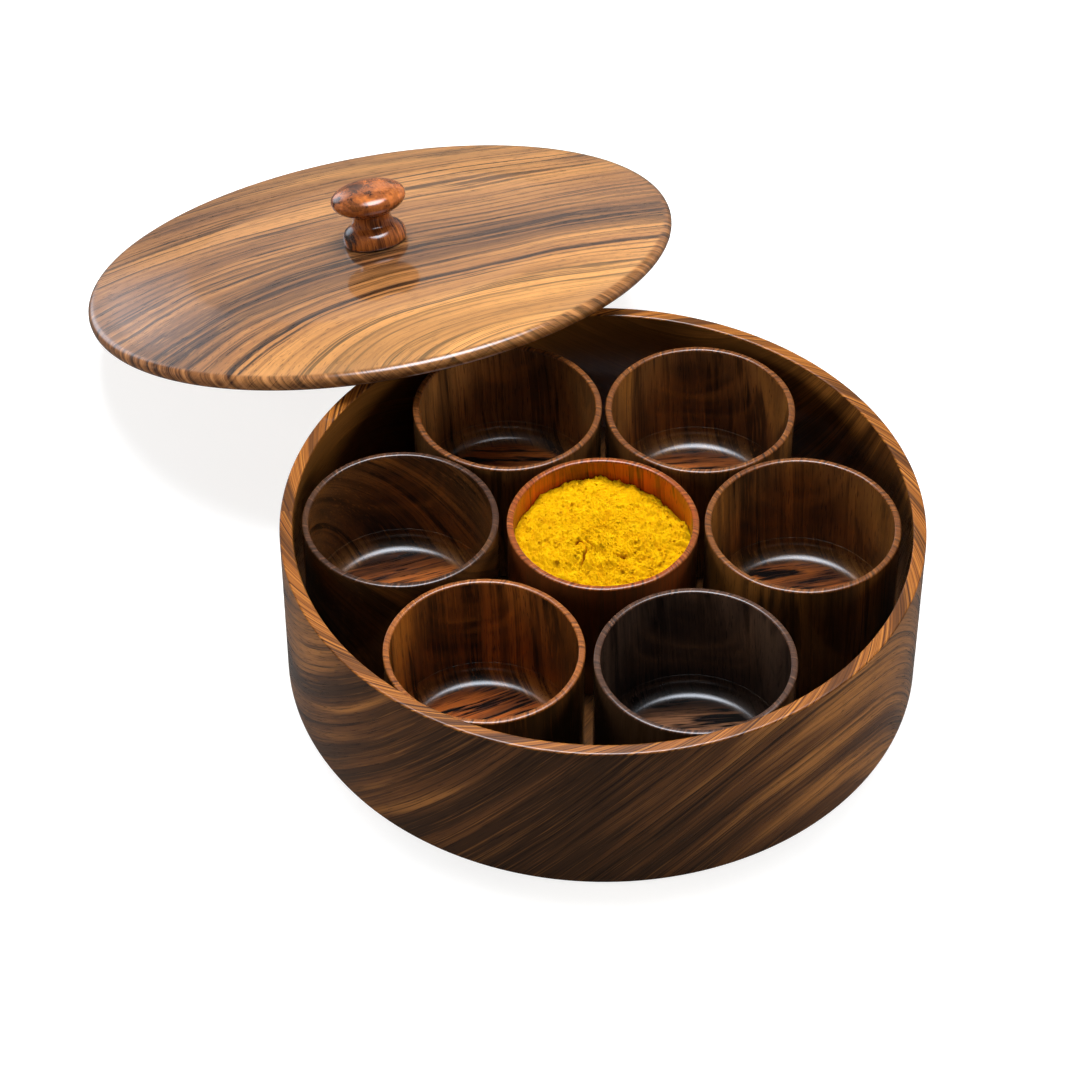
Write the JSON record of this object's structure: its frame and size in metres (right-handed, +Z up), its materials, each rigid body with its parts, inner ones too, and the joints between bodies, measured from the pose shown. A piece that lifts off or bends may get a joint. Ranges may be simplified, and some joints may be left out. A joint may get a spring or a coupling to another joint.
{
  "type": "spice box",
  "caption": "Round turned wooden spice box with loose cups, turmeric in the middle one, and a knobbed lid leaning on its rim.",
  "frame": {"origin": "centre of the box's underside, on the table", "axes": "+Z up out of the box; the front is toward -Y; the lid leans on the rim at the back left, toward -X and +Y"},
  "size_m": [0.3201, 0.3969, 0.0819],
  "materials": {
    "dark_wood": "turned and clear lacquered, glossy",
    "gold_wood": "turned and clear lacquered, satin to glossy",
    "red_wood": "turned and clear lacquered, glossy",
    "knob_wood": "turned and clear lacquered, high gloss",
    "screw_steel": "plain steel wood screw",
    "turmeric": null
  },
  "bodies": {
    "box": {"box_wall": "dark_wood", "box_base": "gold_wood"},
    "lid": {"lid_panel": "gold_wood", "lid_knob": "knob_wood", "knob_screw": "screw_steel"},
    "cup_centre": {"cup_centre_wall": "red_wood", "cup_centre_floor": "red_wood", "turmeric_powder": "turmeric"},
    "cup_right": {"cup_right_wall": "red_wood", "cup_right_floor": "red_wood"},
    "cup_back_right": {"cup_back_right_wall": "red_wood", "cup_back_right_floor": "red_wood"},
    "cup_back_left": {"cup_back_left_wall": "red_wood", "cup_back_left_floor": "red_wood"},
    "cup_left": {"cup_left_wall": "red_wood", "cup_left_floor": "red_wood"},
    "cup_front_left": {"cup_front_left_wall": "red_wood", "cup_front_left_floor": "red_wood"},
    "cup_front_right": {"cup_front_right_wall": "red_wood", "cup_front_right_floor": "red_wood"}
  },
  "joints": [
    {"name": "lid_lift", "type": "slide", "parent": "box", "child": "lid", "axis": [0, 0, 1], "range_m": [0, 0.2]},
    {"name": "cup_centre_lift", "type": "slide", "parent": "box", "child": "cup_centre", "axis": [0, 0, 1], "range_m": [0, 0.075]},
    {"name": "cup_right_lift", "type": "slide", "parent": "box", "child": "cup_right", "axis": [0, 0, 1], "range_m": [0, 0.075]},
    {"name": "cup_back_right_lift", "type": "slide", "parent": "box", "child": "cup_back_right", "axis": [0, 0, 1], "range_m": [0, 0.075]},
    {"name": "cup_back_left_lift", "type": "slide", "parent": "box", "child": "cup_back_left", "axis": [0, 0, 1], "range_m": [0, 0.006]},
    {"name": "cup_left_lift", "type": "slide", "parent": "box", "child": "cup_left", "axis": [0, 0, 1], "range_m": [0, 0.075]},
    {"name": "cup_front_left_lift", "type": "slide", "parent": "box", "child": "cup_front_left", "axis": [0, 0, 1], "range_m": [0, 0.075]},
    {"name": "cup_front_right_lift", "type": "slide", "parent": "box", "child": "cup_front_right", "axis": [0, 0, 1], "range_m": [0, 0.075]}
  ]
}
